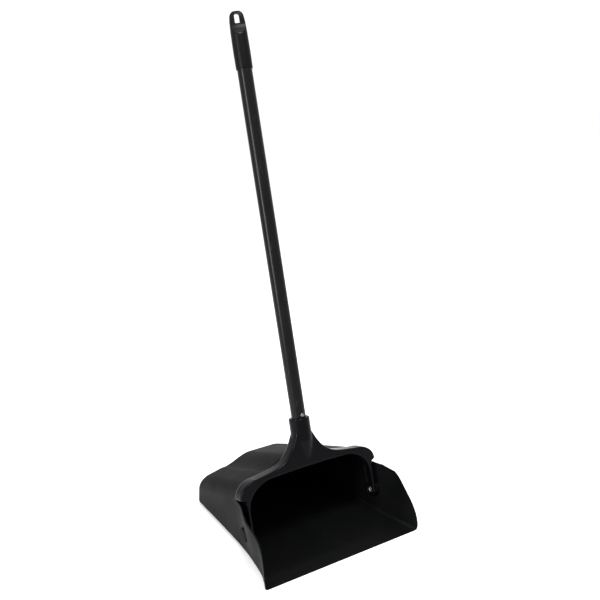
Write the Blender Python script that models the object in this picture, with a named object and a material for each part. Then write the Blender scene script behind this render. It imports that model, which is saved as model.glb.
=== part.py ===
"""Upright lobby dustpan: a hooded moulded pan on rear wheels, with a long handle that tips on a yoke.

Metres, +Z up. The floor is z = 0, the pan opens towards -Y and X is the pan's width. "Depth" is the
distance behind the lip's front edge; handle pieces are modelled upright on their pivot and leaned back.
"""
import math

import bmesh
import bpy

# ---- driving dimensions -------------------------------------------------------------------------
LIP_Y = -0.1764            # front edge of the lip; centres the whole object on the origin
LIP_HALF_WIDTH = 0.162
PAN_DEPTH = 0.313
PAN_WALL = 0.0025
LIP_THICKNESS = 0.0014
FLOOR_LIFT = 0.0028        # ground clearance under the pan behind its lip
FLOOR_RAMP = 0.030         # depth over which the lip's underside rises to that clearance

REAR_HALF_WIDTH = 0.130    # half width of the floor at the back
SIDE_TAPER = 0.0065        # extra half width towards the front, before the flare
FLARE_LENGTH = 0.050       # how quickly the lip's flare dies away
WALL_LEAN = 0.05           # outward lean of the side walls, as a slope
EAR_LEAN = 0.14            # extra lean of the ears
EAR_LEAN_DEPTH = 0.066
EAR_LEAN_SPREAD = 0.034

HOOD_LEVEL = 0.127         # height of the hood's shoulders at HOOD_REFERENCE
HOOD_REFERENCE = 0.140
HOOD_SLOPE = 0.352         # fall of the hood towards the back
SHOULDER_START = 0.085
SHOULDER_SLOPE = 0.25
DOME_HEIGHT = 0.020
DOME_FLAT = 0.026
DOME_EDGE = 0.082
BACK_LEAN = 0.22
FLOOR_CORNER = 0.007
HOOD_CORNER = 0.027
REAR_CORNER = 0.020

EAR_RADIUS = 0.0945        # the ears' quarter-round front edge
EAR_CENTRE = 0.094

PIVOT_DEPTH = 0.100
PIVOT_Z = 0.044
HANDLE_LEAN = math.radians(16)
YOKE_HALF_DEPTH = 0.013
ARM_INNER = 0.1290
ARM_OUTER = 0.1350
SHOULDER_OUTER = 0.1440    # the yoke's shoulders overhang the ears and meet the hood's sides
SHOULDER_FOOT = 0.0605     # height above the pivot where that overhang begins
SHOULDER_TOP = (0.107, 0.0890)
ARCH_HEIGHT = 0.082        # underside of the yoke's arch above the pivot
ARM_STRAIGHT = 0.034       # height above the pivot where the arch begins to bend
ARCH_REACH = 0.055         # how far in from the arms the arch bends
NECK_HEIGHT = 0.142        # where the shoulders run out into the socket
SOCKET_RADIUS = 0.0190
SOCKET_BASE = 0.130        # the socket is full round above this and sinks into the yoke below
SOCKET_TOP = 0.171
SOCKET_FLOOR = 0.1150
RIVET_HEIGHT = 0.1500      # the rivet through the socket's back
RIVET_SHANK = 0.0021
TUBE_RADIUS = 0.0132
TUBE_WALL = 0.0010
TUBE_TOP = 0.8400           # height where the tube ends inside the grip
GRIP_BOTTOM = 0.790
GRIP_TOP = 0.8905
GRIP_RADIUS = 0.0151
GRIP_TURN = math.radians(-26)

PIN_RADIUS = 0.0040
BOSS_RADIUS = 0.0125
BOSS_INNER = 0.1364
BOSS_OUTER = 0.1464
PIN_END = 0.1430           # the pin stops inside the boss, which is closed on the outside

WHEEL_X = 0.085
WHEEL_RADIUS = 0.0125
WHEEL_HALF_WIDTH = 0.0075
WHEEL_DEPTH = 0.3005
AXLE_RADIUS = 0.0020
GAP = 0.0003               # running clearance between neighbouring pieces

ROUND = 32                 # sides of a round piece
SIDES = (("left", -1), ("right", 1))


# ---- scene and materials ------------------------------------------------------------------------
def clear_scene():
    for item in list(bpy.data.objects):
        bpy.data.objects.remove(item, do_unlink=True)


def make_material(name, colour, roughness, metallic=0.0):
    material = bpy.data.materials.new(name)
    material.use_nodes = True
    shader = material.node_tree.nodes["Principled BSDF"]
    shader.inputs["Base Color"].default_value = (*colour, 1.0)
    shader.inputs["Roughness"].default_value = roughness
    shader.inputs["Metallic"].default_value = metallic
    material.diffuse_color = (*colour, 1.0)
    return material


def add_object(name, bm, material, smooth_angle=None):
    bmesh.ops.remove_doubles(bm, verts=bm.verts, dist=1e-7)
    bmesh.ops.recalc_face_normals(bm, faces=bm.faces)
    mesh = bpy.data.meshes.new(name)
    bm.to_mesh(mesh)
    bm.free()
    if smooth_angle:
        mesh.shade_smooth()
        mesh.set_sharp_from_angle(angle=math.radians(smooth_angle))
    item = bpy.data.objects.new(name, mesh)
    bpy.context.scene.collection.objects.link(item)
    if material:
        item.data.materials.append(material)
    return item


def combine(item, other, operation):
    """Cut, join or intersect with a helper solid, which stays in the file as a hidden guide."""
    modifier = item.modifiers.new(other.name, "BOOLEAN")
    modifier.operation = operation
    modifier.object = other
    modifier.solver = "EXACT"
    other.hide_render = True
    other.display_type = "WIRE"


# ---- shape helpers ------------------------------------------------------------------------------
def smoothstep(value):
    value = min(1.0, max(0.0, value))
    return value * value * (3 - 2 * value)


def mix(a, b, t):
    return a + (b - a) * t


def fillet(before, corner, after, radius, steps):
    """Points of the arc that rounds a corner between two straight lines."""
    ax, az = before[0] - corner[0], before[1] - corner[1]
    bx, bz = after[0] - corner[0], after[1] - corner[1]
    la, lb = math.hypot(ax, az), math.hypot(bx, bz)
    ax, az, bx, bz = ax / la, az / la, bx / lb, bz / lb
    half = math.acos(max(-1.0, min(1.0, ax * bx + az * bz))) / 2
    reach = radius / math.tan(half)
    start = (corner[0] + ax * reach, corner[1] + az * reach)
    end = (corner[0] + bx * reach, corner[1] + bz * reach)
    mx, mz = (ax + bx), (az + bz)
    scale = radius / math.sin(half) / math.hypot(mx, mz)
    cx, cz = corner[0] + mx * scale, corner[1] + mz * scale
    first = math.atan2(start[1] - cz, start[0] - cx)
    sweep = math.atan2(end[1] - cz, end[0] - cx) - first
    sweep = (sweep + math.pi) % (2 * math.pi) - math.pi
    turns = [first + sweep * i / steps for i in range(steps + 1)]
    return [(cx + radius * math.cos(t), cz + radius * math.sin(t)) for t in turns]


def loft(bm, rings, close_ends=True):
    """Skin a list of closed rings of equal length; the end rings are filled."""
    rows = [[bm.verts.new(point) for point in ring] for ring in rings]
    count = len(rows[0])
    for row, following in zip(rows, rows[1:]):
        for i in range(count):
            j = (i + 1) % count
            bm.faces.new((row[i], row[j], following[j], following[i]))
    if close_ends:
        bm.faces.new(list(reversed(rows[0])))
        bm.faces.new(rows[-1])
    return rows


def prism(name, outline, low, high, axis="X"):
    """Extrude a closed outline along an axis; the outline holds the two other coordinates in order."""
    bm = bmesh.new()
    order = {"X": lambda s, a, b: (s, a, b), "Y": lambda s, a, b: (a, s, b),
             "Z": lambda s, a, b: (a, b, s)}[axis]
    loft(bm, [[order(s, a, b) for a, b in outline] for s in (low, high)])
    return add_object(name, bm, None)


def turned(bm, profile, axis="Z", centre=(0, 0, 0), sides=ROUND):
    """Turn a closed (radius, distance) profile about an axis through centre."""
    place = {"Z": lambda x, y, d: (x, y, d), "X": lambda x, y, d: (d, x, y),
             "Y": lambda x, y, d: (x, d, y)}[axis]
    rings = []
    for i in range(sides):
        angle = 2 * math.pi * i / sides
        ring = []
        for radius, distance in profile:
            point = place(radius * math.cos(angle), radius * math.sin(angle), distance)
            ring.append(tuple(c + p for c, p in zip(centre, point)))
        rings.append(ring)
    rows = [[bm.verts.new(point) for point in ring] for ring in rings]
    count = len(profile)
    for i in range(sides):
        row, following = rows[i], rows[(i + 1) % sides]
        for k in range(count):
            m = (k + 1) % count
            corners = (row[k], row[m], following[m], following[k])
            bm.faces.new(corners)
    bmesh.ops.remove_doubles(bm, verts=bm.verts, dist=1e-7)
    bmesh.ops.dissolve_degenerate(bm, edges=bm.edges, dist=1e-7)


def turned_object(name, profile, material, axis="Z", centre=(0, 0, 0), sides=ROUND):
    bm = bmesh.new()
    turned(bm, profile, axis, centre, sides)
    return add_object(name, bm, material, smooth_angle=35)


def cylinder(name, radius, low, high, axis, centre, material=None, sides=ROUND):
    return turned_object(name, [(0, low), (radius, low), (radius, high), (0, high)],
                         material, axis, centre, sides)


# ---- the pan ------------------------------------------------------------------------------------
def floor_half_width(depth):
    flare = LIP_HALF_WIDTH - REAR_HALF_WIDTH - SIDE_TAPER
    return (REAR_HALF_WIDTH + SIDE_TAPER * (1 - depth / PAN_DEPTH)
            + flare * math.exp(-depth / FLARE_LENGTH))


def wall_lean(depth):
    return WALL_LEAN + EAR_LEAN * math.exp(-((depth - EAR_LEAN_DEPTH) / EAR_LEAN_SPREAD) ** 2)


def hood_height(x, depth):
    level = HOOD_LEVEL - HOOD_SLOPE * (depth - HOOD_REFERENCE)
    dome = DOME_HEIGHT * (1 - smoothstep((x - DOME_FLAT) / (DOME_EDGE - DOME_FLAT)))
    return level + dome - SHOULDER_SLOPE * max(0.0, x - SHOULDER_START)


def underside(depth):
    return FLOOR_LIFT * smoothstep(depth / FLOOR_RAMP)


def floor_top(depth):
    lip = underside(depth) + LIP_THICKNESS
    return mix(lip, underside(depth) + PAN_WALL, smoothstep(depth / FLOOR_RAMP))


def pan_section(depth, inset, floor_z):
    """Half of the pan's cross-section, from the middle of the floor round to the middle of the hood."""
    foot = floor_half_width(depth) - inset
    lean = wall_lean(depth)
    corner_x = foot + lean * HOOD_LEVEL
    for _ in range(8):
        corner_z = hood_height(corner_x + inset, depth) - inset
        corner_x = foot + lean * corner_z
    shoulder_x = SHOULDER_START
    shoulder_z = hood_height(shoulder_x, depth) - inset
    corner_radius = HOOD_CORNER - inset * 0.7
    points = [(0.0, floor_z), (foot * 0.5, floor_z)]
    points += fillet((0, floor_z), (foot + lean * floor_z, floor_z), (corner_x, corner_z),
                     max(0.002, FLOOR_CORNER - inset * 0.6), 3)
    shoulder = fillet((foot, floor_z), (corner_x, corner_z), (shoulder_x, shoulder_z),
                      corner_radius, 6)
    wall_foot = points[-1]
    wall_steps = 4
    for i in range(1, wall_steps):
        t = i / wall_steps
        points.append((mix(wall_foot[0], shoulder[0][0], t), mix(wall_foot[1], shoulder[0][1], t)))
    points += shoulder
    dome_steps = 7
    for i in range(dome_steps + 1):
        x = shoulder_x * (1 - i / dome_steps)
        points.append((x, hood_height(x, depth) - inset))
    return points


def pan_ring(depth, inset, floor_z):
    """A whole cross-section ring; the back of the pan leans forward with height."""
    half = pan_section(depth, inset, floor_z)
    whole = half + [(-x, z) for x, z in reversed(half[1:-1])]
    pull = BACK_LEAN * (depth / PAN_DEPTH) ** 4
    return [(x, depth - pull * z, z) for x, z in whole]


def pan_stations():
    """Depths of the cross-sections: close together where the sides flare, wide apart behind."""
    ears = 0.075
    hood = 0.150
    flare = [ears * (i / 6) ** 1.4 for i in range(6)]
    waist = [mix(ears, hood, i / 6) for i in range(6)]
    body = [mix(hood, PAN_DEPTH - REAR_CORNER, i / 3) for i in range(4)]
    return flare + waist + body


def pan_skin(inset, rear):
    """Rings from the lip to a rounded rear edge at the given depth."""
    rings = []
    for depth in pan_stations():
        floor_z = floor_top(depth) if inset else underside(depth)
        rings.append(pan_ring(depth, inset, floor_z))
    for i in range(1, 6):
        turn = math.radians(90) * i / 5
        depth = rear - REAR_CORNER + REAR_CORNER * math.sin(turn)
        shrink = REAR_CORNER * (1 - math.cos(turn))
        floor_z = (floor_top(depth) if inset else underside(depth)) + shrink * 0.15
        rings.append(pan_ring(depth, inset + shrink * 0.8, floor_z))
    return rings


def pan_shell(material):
    bm = bmesh.new()
    outer = loft(bm, pan_skin(0.0, PAN_DEPTH), close_ends=False)
    inner = loft(bm, pan_skin(PAN_WALL, PAN_DEPTH - PAN_WALL), close_ends=False)
    bm.faces.new(outer[-1])
    bm.faces.new(inner[-1])
    count = len(outer[0])
    for i in range(count):
        j = (i + 1) % count
        bm.faces.new((outer[0][i], outer[0][j], inner[0][j], inner[0][i]))
    return add_object("pan_body", bm, material, smooth_angle=35)


def mouth_outline():
    """Side view of the space cut from the loft: ahead of the ears' arc and of the hood's edge."""
    arc_steps = 14
    outline = []
    for i in range(arc_steps + 1):
        turn = math.pi - math.radians(90) * i / arc_steps
        outline.append((EAR_CENTRE + EAR_RADIUS * math.cos(turn), EAR_RADIUS * math.sin(turn)))
    lean = math.tan(HANDLE_LEAN)
    stand_off = (YOKE_HALF_DEPTH + 2 * GAP) / math.cos(HANDLE_LEAN)
    top = 0.24
    for z in (EAR_RADIUS, top):
        outline.append((PIVOT_DEPTH + stand_off + (z - PIVOT_Z) * lean, z))
    outline += [(-0.05, top), (-0.05, 0.0)]
    return outline


def socket_profile(spare):
    """The tube socket's (radius, height) outline, tapering into the yoke, with spare room around it."""
    base = ARCH_HEIGHT + 0.012
    lip = 0.0012
    r = SOCKET_RADIUS + spare
    return [(0, base), (YOKE_HALF_DEPTH - 0.0006 + spare, base), (r, SOCKET_BASE), (r, SOCKET_TOP - lip),
            (r - lip, SOCKET_TOP), (0, SOCKET_TOP)]


def build_pan(handle, material):
    pan = pan_shell(material)
    pan.location.y = LIP_Y
    mouth = prism("mouth_cut", mouth_outline(), -0.2, 0.2)
    mouth.location.y = LIP_Y
    combine(pan, mouth, "DIFFERENCE")
    relief = turned_object("socket_relief", socket_profile(2 * GAP), None)
    relief.parent = handle
    combine(pan, relief, "DIFFERENCE")
    pivot = (0, LIP_Y + PIVOT_DEPTH, PIVOT_Z)
    for side, sign in SIDES:
        low, high = sorted((sign * BOSS_INNER, sign * BOSS_OUTER))
        boss = cylinder(f"{side}_boss_guide", BOSS_RADIUS, low, high, "X", pivot)
        combine(pan, boss, "UNION")
        low, high = sorted((sign * (BOSS_INNER - 0.004), sign * (PIN_END + GAP)))
        hole = cylinder(f"{side}_pin_hole", PIN_RADIUS + GAP, low, high, "X", pivot, sides=20)
        combine(pan, hole, "DIFFERENCE")
        add_wheel_well(pan, side, sign)
    return pan


def box(name, low, high):
    outline = [(low[1], low[2]), (high[1], low[2]), (high[1], high[2]), (low[1], high[2])]
    return prism(name, outline, low[0], high[0])


def add_wheel_well(pan, side, sign):
    """A moulded housing in the floor's rear edge, hollowed for a wheel and slotted for its axle."""
    x = sign * WHEEL_X
    y = LIP_Y + WHEEL_DEPTH
    wall = 0.0040
    room = 0.0016
    half = WHEEL_HALF_WIDTH + room
    top = 2 * WHEEL_RADIUS + room
    front = y - WHEEL_RADIUS - room
    housing = box(f"{side}_well_guide", (x - half - wall, front - PAN_WALL, FLOOR_LIFT + 0.0008),
                  (x + half + wall, LIP_Y + PAN_DEPTH - 0.0045, top + PAN_WALL))
    combine(pan, housing, "UNION")
    well = box(f"{side}_well_cut", (x - half, front, -0.01), (x + half, y + 0.05, top))
    combine(pan, well, "DIFFERENCE")
    seat_half = half + wall * 0.6
    seat = AXLE_RADIUS + GAP
    bore = cylinder(f"{side}_axle_bore", seat, -seat_half, seat_half, "X", (x, y, WHEEL_RADIUS),
                    sides=20)
    combine(pan, bore, "DIFFERENCE")
    slot = box(f"{side}_axle_slot", (x - seat_half, y - seat, -0.01),
               (x + seat_half, y + seat, WHEEL_RADIUS))
    combine(pan, slot, "DIFFERENCE")


def build_wear_pads(material):
    """Low skids under the front corners that keep the floor off the ground behind the lip."""
    length, half_width, depth = 0.045, 0.007, 0.062
    for side, sign in SIDES:
        bm = bmesh.new()
        x = sign * 0.118
        thickness = FLOOR_LIFT - GAP
        outline = [(-length / 2, thickness), (-length / 2 + 0.005, 0), (length / 2 - 0.005, 0),
                   (length / 2, thickness)]
        loft(bm, [[(x + s, LIP_Y + depth + y, z) for y, z in outline]
                  for s in (-half_width, half_width)])
        add_object(f"{side}_wear_pad", bm, material)


# ---- wheels -------------------------------------------------------------------------------------
def build_wheels(wheel_material, steel):
    w = WHEEL_HALF_WIDTH
    bore = AXLE_RADIUS + GAP
    crown = WHEEL_RADIUS
    shoulder = 0.0012
    web = w * 0.35
    rim = WHEEL_RADIUS - 0.0028
    hub = 0.0042
    profile = [(bore, -w), (hub, -w), (hub, -web), (rim, -web), (rim, -w), (crown - shoulder, -w),
               (crown, -w + shoulder), (crown, w - shoulder), (crown - shoulder, w), (rim, w),
               (rim, web), (hub, web), (hub, w), (bore, w)]
    axle_half = w + 0.0016 + 0.0020
    for side, sign in SIDES:
        centre = (sign * WHEEL_X, LIP_Y + WHEEL_DEPTH, WHEEL_RADIUS)
        wheel = turned_object(f"{side}_wheel", profile, wheel_material, "X", (0, 0, 0))
        wheel.location = centre
        chamfer = 0.0004
        ends = [(0, -axle_half), (AXLE_RADIUS - chamfer, -axle_half),
                (AXLE_RADIUS, -axle_half + chamfer), (AXLE_RADIUS, axle_half - chamfer),
                (AXLE_RADIUS - chamfer, axle_half), (0, axle_half)]
        turned_object(f"{side}_wheel_axle", ends, steel, "X", centre, sides=20)


# ---- the yoke, upright on its pivot -------------------------------------------------------------
def yoke_bands():
    """Matching (inner, outer) points of the right half, from the arm's foot to the middle."""
    foot = YOKE_HALF_DEPTH
    bands = [((ARM_INNER, h), (ARM_OUTER, h)) for h in
             (-foot, -foot * 0.93, -foot * 0.8, -foot * 0.55, -foot * 0.25, 0.0, ARM_STRAIGHT)]
    inner_rise = ARCH_HEIGHT - ARM_STRAIGHT
    underhang_turn, shoulder_turn = 22, 33

    def inner_bend(degrees):
        turn = math.radians(degrees)
        return (ARM_INNER - ARCH_REACH * (1 - math.cos(turn)),
                ARM_STRAIGHT + inner_rise * math.sin(turn))

    bands.append((inner_bend(underhang_turn), (ARM_OUTER, SHOULDER_FOOT - 0.005)))
    bands.append((inner_bend(shoulder_turn), (SHOULDER_OUTER, SHOULDER_FOOT)))
    bend_steps = 5
    for i in range(1, bend_steps + 1):
        t = i / bend_steps
        turn = math.radians(90) * t
        outer = (SHOULDER_OUTER - (SHOULDER_OUTER - SHOULDER_TOP[0]) * (1 - math.cos(turn)),
                 mix(SHOULDER_FOOT, SHOULDER_TOP[1], math.sin(turn)))
        bands.append((inner_bend(mix(shoulder_turn, 90, t)), outer))
    sweep_steps = 9
    last_inner = bands[-1][0][0]
    neck = SOCKET_RADIUS * 0.93
    for i in range(1, sweep_steps + 1):
        t = i / sweep_steps
        x = mix(SHOULDER_TOP[0], neck, t)
        rise = (NECK_HEIGHT - SHOULDER_TOP[1]) * (0.22 * t + 0.78 * t ** 4.6)
        bands.append(((mix(last_inner, neck, t), ARCH_HEIGHT), (x, SHOULDER_TOP[1] + rise)))
    bands.append(((0.0, ARCH_HEIGHT), (0.0, NECK_HEIGHT)))
    return bands


def band_ring(inner, outer, half_depth):
    """A rounded rectangle between two points of the band, with the given half depth."""
    cx, ch = (inner[0] + outer[0]) / 2, (inner[1] + outer[1]) / 2
    ux, uh = (outer[0] - inner[0]) / 2, (outer[1] - inner[1]) / 2
    half = math.hypot(ux, uh)
    ux, uh = ux / half, uh / half
    radius = 0.84 * min(half, half_depth)
    corner_steps = 4
    ring = []
    for quarter, (su, sv) in enumerate(((1, 1), (-1, 1), (-1, -1), (1, -1))):
        for i in range(corner_steps + 1):
            turn = math.radians(90) * (quarter + i / corner_steps)
            u = su * (half - radius) + radius * math.cos(turn)
            v = sv * (half_depth - radius) + radius * math.sin(turn)
            ring.append((cx + ux * u, v, ch + uh * u))
    return ring


def yoke_half_depth(h):
    """The arm's foot is rounded about the pivot, seen from the side."""
    if h >= 0:
        return YOKE_HALF_DEPTH
    return max(0.0012, math.sqrt(max(0.0, YOKE_HALF_DEPTH ** 2 - h ** 2)))


def build_yoke(parent, material):
    bm = bmesh.new()
    right = yoke_bands()
    left = [((-a[0], a[1]), (-b[0], b[1])) for a, b in reversed(right[:-1])]
    rings = []
    for inner, outer in right + left:
        rings.append(band_ring(inner, outer, yoke_half_depth((inner[1] + outer[1]) / 2)))
    loft(bm, rings)
    yoke = add_object("yoke", bm, material, smooth_angle=50)
    yoke.parent = parent
    socket = turned_object("socket_guide", socket_profile(0.0), None)
    socket.parent = parent
    combine(yoke, socket, "UNION")
    bore = cylinder("socket_bore", TUBE_RADIUS + GAP, SOCKET_FLOOR, SOCKET_TOP + 0.01, "Z", (0, 0, 0))
    bore.parent = parent
    combine(yoke, bore, "DIFFERENCE")
    for side, sign in SIDES:
        low, high = sorted((sign * (ARM_INNER - 0.01), sign * (ARM_OUTER + 0.01)))
        hole = cylinder(f"{side}_arm_hole", PIN_RADIUS + GAP, low, high, "X", (0, 0, 0), sides=20)
        hole.parent = parent
        combine(yoke, hole, "DIFFERENCE")
    rivet_hole = cylinder("socket_rivet_hole", RIVET_SHANK + GAP, 0, 0.03, "Y", (0, 0, RIVET_HEIGHT), sides=16)
    rivet_hole.parent = parent
    combine(yoke, rivet_hole, "DIFFERENCE")
    return yoke


def build_pivots(pan_y, parent, steel, plastic):
    """A domed pin on each side, with a plastic thrust washer outside the arm and a steel one inside."""
    pivot = (0, pan_y, PIVOT_Z)
    hole = PIN_RADIUS + GAP
    washer = 0.0010
    inner_end = ARM_INNER - 2 * GAP - washer
    dome_radius, dome_height = 0.0056, 0.0030
    steps = 5
    dome = []
    for i in range(steps + 1):
        turn = math.radians(90) * i / steps
        dome.append((dome_radius * math.sin(turn), inner_end - dome_height * math.cos(turn)))
    chamfer = 0.0008
    pin = dome + [(PIN_RADIUS, inner_end), (PIN_RADIUS, PIN_END - chamfer),
                  (PIN_RADIUS - chamfer, PIN_END), (0, PIN_END)]
    thrust = (ARM_OUTER + GAP, BOSS_INNER - GAP)
    inner = (ARM_INNER - GAP - washer, ARM_INNER - GAP)
    for side, sign in SIDES:
        turned_object(f"{side}_pivot_pin", [(r, sign * x) for r, x in pin], steel, "X", pivot)
        for label, (low, high), radius, material in (("thrust_washer", thrust, 0.0105, plastic),
                                                      ("pin_washer", inner, 0.0082, steel)):
            ring = [(hole, sign * low), (radius, sign * low), (radius, sign * high),
                    (hole, sign * high)]
            item = turned_object(f"{side}_{label}", ring, material, "X")
            item.parent = parent


# ---- the handle ---------------------------------------------------------------------------------
def build_tube(parent, material, rivet_material):
    outer, inner = TUBE_RADIUS, TUBE_RADIUS - TUBE_WALL
    bottom, top = SOCKET_FLOOR + GAP, TUBE_TOP
    stop_height = SOCKET_TOP + 0.0048
    around_holes = (RIVET_HEIGHT - 0.006, RIVET_HEIGHT + 0.006, stop_height - 0.006, stop_height + 0.006)
    lengths = (bottom, *around_holes, top)
    profile = [(inner, h) for h in reversed(lengths)] + [(outer, h) for h in lengths]
    tube = turned_object("handle_tube", profile, material)
    tube.parent = parent
    shank, head = 0.0018, 0.0035
    profile_depths = (outer - TUBE_WALL - 0.0012, outer + GAP, outer + 0.0022)
    stop_hole = cylinder("stop_hole", shank + GAP, -0.02, 0, "Y", (0, 0, stop_height), sides=16)
    back_hole = cylinder("back_hole", RIVET_SHANK + GAP, 0, 0.02, "Y", (0, 0, RIVET_HEIGHT), sides=16)
    for hole in (stop_hole, back_hole):
        hole.parent = parent
        combine(tube, hole, "DIFFERENCE")
    inside, seat, crown = profile_depths
    stop = [(0, -inside), (shank, -inside), (shank, -seat), (head, -seat), (head, -seat - 0.0006),
            (head * 0.72, -crown + 0.0002), (0, -crown)]
    rivet = turned_object("tube_stop_rivet", stop, rivet_material, "Y", (0, 0, stop_height), sides=20)
    rivet.parent = parent
    shank, head = RIVET_SHANK, 0.0040
    seat = SOCKET_RADIUS + GAP
    back = [(0, inside), (shank, inside), (shank, seat), (head, seat), (head, seat + 0.0006),
            (head * 0.7, seat + 0.0016), (0, seat + 0.0018)]
    socket_rivet = turned_object("socket_rivet", back, rivet_material, "Y", (0, 0, RIVET_HEIGHT), sides=20)
    socket_rivet.parent = parent


def build_grip(parent, material):
    """Moulded hand grip: a round sleeve over the tube's end that flattens into a hanging loop."""
    grip_parent = bpy.data.objects.new("grip_turn", None)
    bpy.context.scene.collection.objects.link(grip_parent)
    grip_parent.parent = parent
    grip_parent.rotation_euler.z = GRIP_TURN
    r = GRIP_RADIUS
    edge = 0.0015
    profile = [(0, GRIP_BOTTOM), (r - edge, GRIP_BOTTOM), (r - 0.0003, GRIP_BOTTOM + edge),
               (r, GRIP_BOTTOM + 0.03), (r - 0.0004, GRIP_TOP - 0.036), (r - 0.0013, GRIP_TOP - 0.018),
               (r - 0.0024, GRIP_TOP - 0.0085), (r - 0.0042, GRIP_TOP - 0.0040),
               (r - 0.0075, GRIP_TOP - 0.0010), (0, GRIP_TOP)]
    grip = turned_object("hang_up_grip", profile, material)
    grip.parent = grip_parent
    loop_half, flat_start, flat_end = 0.0052, GRIP_TOP - 0.048, GRIP_TOP - 0.0245
    for label, sign in (("front", -1), ("back", 1)):
        outline = [(sign * loop_half, GRIP_TOP + 0.01), (sign * loop_half, flat_end),
                   (sign * (r + 0.002), flat_start), (sign * (r + 0.002), GRIP_TOP + 0.01)]
        flat = prism(f"{label}_flat_cut", outline, -0.03, 0.03)
        flat.parent = grip_parent
        combine(grip, flat, "DIFFERENCE")
    hole_half, hole_low = 0.0044, GRIP_TOP - 0.0215
    arch_centre = GRIP_TOP - 0.0035 - hole_half
    arch = [(hole_half * math.cos(math.pi * i / 10), arch_centre + hole_half * math.sin(math.pi * i / 10))
            for i in range(11)]
    hole = prism("hang_hole", [(-hole_half, hole_low), (hole_half, hole_low)] + arch, -0.03, 0.03, "Y")
    hole.parent = grip_parent
    combine(grip, hole, "DIFFERENCE")
    bore = cylinder("grip_bore", TUBE_RADIUS + GAP, GRIP_BOTTOM - 0.01, TUBE_TOP + GAP, "Z", (0, 0, 0))
    bore.parent = grip_parent
    combine(grip, bore, "DIFFERENCE")
    return grip


# ---- assembly -----------------------------------------------------------------------------------
def main():
    clear_scene()
    black = (0.018, 0.018, 0.019)
    pan_plastic = make_material("pan_plastic", black, 0.42)
    yoke_plastic = make_material("yoke_plastic", (0.016, 0.016, 0.018), 0.36)
    tube_coat = make_material("tube_coat", (0.010, 0.010, 0.011), 0.22)
    grip_plastic = make_material("grip_plastic", black, 0.45)
    wheel_plastic = make_material("wheel_plastic", (0.03, 0.03, 0.03), 0.6)
    pad_plastic = make_material("pad_plastic", (0.025, 0.025, 0.025), 0.5)
    steel = make_material("steel", (0.55, 0.55, 0.56), 0.28, metallic=1.0)

    handle = bpy.data.objects.new("handle_pivot", None)
    bpy.context.scene.collection.objects.link(handle)
    handle.location = (0, LIP_Y + PIVOT_DEPTH, PIVOT_Z)
    handle.rotation_euler.x = -HANDLE_LEAN

    build_pan(handle, pan_plastic)
    build_wear_pads(pad_plastic)
    build_wheels(wheel_plastic, steel)
    build_yoke(handle, yoke_plastic)
    build_pivots(LIP_Y + PIVOT_DEPTH, handle, steel, pad_plastic)
    build_tube(handle, tube_coat, steel)
    build_grip(handle, grip_plastic)


main()
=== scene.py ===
"""Upright lobby dustpan: finely modelled moulded pieces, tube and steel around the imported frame.

Metres, +Z up, the pan opens towards -Y. "Depth" is the distance behind the lip's front edge. Handle
pieces are made upright about the pivot and leaned back.
"""
import math

import bmesh
import bpy
from mathutils import Matrix, Vector


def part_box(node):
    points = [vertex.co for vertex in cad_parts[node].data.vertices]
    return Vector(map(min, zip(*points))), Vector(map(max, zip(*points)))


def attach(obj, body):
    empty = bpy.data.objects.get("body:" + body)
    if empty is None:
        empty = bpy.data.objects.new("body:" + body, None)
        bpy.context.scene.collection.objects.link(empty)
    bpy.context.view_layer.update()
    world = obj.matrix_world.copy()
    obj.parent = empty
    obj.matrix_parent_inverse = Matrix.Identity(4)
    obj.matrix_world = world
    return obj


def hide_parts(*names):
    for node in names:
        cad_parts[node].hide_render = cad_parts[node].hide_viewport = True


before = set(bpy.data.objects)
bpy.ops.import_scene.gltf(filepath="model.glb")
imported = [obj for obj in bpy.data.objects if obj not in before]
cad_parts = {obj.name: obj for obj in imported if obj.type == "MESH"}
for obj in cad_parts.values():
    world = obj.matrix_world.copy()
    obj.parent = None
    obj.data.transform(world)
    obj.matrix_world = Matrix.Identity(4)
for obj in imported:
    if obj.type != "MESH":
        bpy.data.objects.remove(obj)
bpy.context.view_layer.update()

# ---- dimensions, the same as the frame's ------------------------------------------------------------
LIP_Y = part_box("pan_body")[0][1]
LIP_HALF_WIDTH = 0.162
PAN_DEPTH = 0.313
PAN_WALL = 0.0025
FLOOR_LIFT = 0.0028
FLOOR_RAMP = 0.030
REAR_HALF_WIDTH = 0.130
SIDE_TAPER = 0.0065
FLARE_LENGTH = 0.050
WALL_LEAN = 0.05
EAR_LEAN = 0.14
EAR_LEAN_DEPTH = 0.066
EAR_LEAN_SPREAD = 0.034
HOOD_LEVEL = 0.127
HOOD_REFERENCE = 0.140
HOOD_SLOPE = 0.352
SHOULDER_START = 0.085
SHOULDER_SLOPE = 0.25
DOME_HEIGHT = 0.020
DOME_FLAT = 0.026
DOME_EDGE = 0.082
BACK_LEAN = 0.22
FLOOR_CORNER = 0.007
HOOD_CORNER = 0.027
REAR_CORNER = 0.020
EAR_RADIUS = 0.0945
EAR_CENTRE = 0.094
PIVOT_DEPTH = 0.100
PIVOT_Z = 0.044
HANDLE_LEAN = math.radians(16)
YOKE_HALF_DEPTH = 0.013
ARM_INNER = 0.1290
ARM_OUTER = 0.1350
SHOULDER_OUTER = 0.1440
SHOULDER_FOOT = 0.0605
SHOULDER_TOP = (0.107, 0.0890)
ARCH_HEIGHT = 0.082
ARM_STRAIGHT = 0.034
ARCH_REACH = 0.055
NECK_HEIGHT = 0.142
SOCKET_RADIUS = 0.0190
SOCKET_BASE = 0.130
SOCKET_TOP = 0.171
SOCKET_FLOOR = 0.1150
RIVET_HEIGHT = 0.1500
RIVET_SHANK = 0.0021
TUBE_RADIUS = 0.0132
TUBE_WALL = 0.0010
TUBE_TOP = 0.8400
GRIP_BOTTOM = 0.790
GRIP_TOP = 0.8905
GRIP_RADIUS = 0.0151
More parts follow.
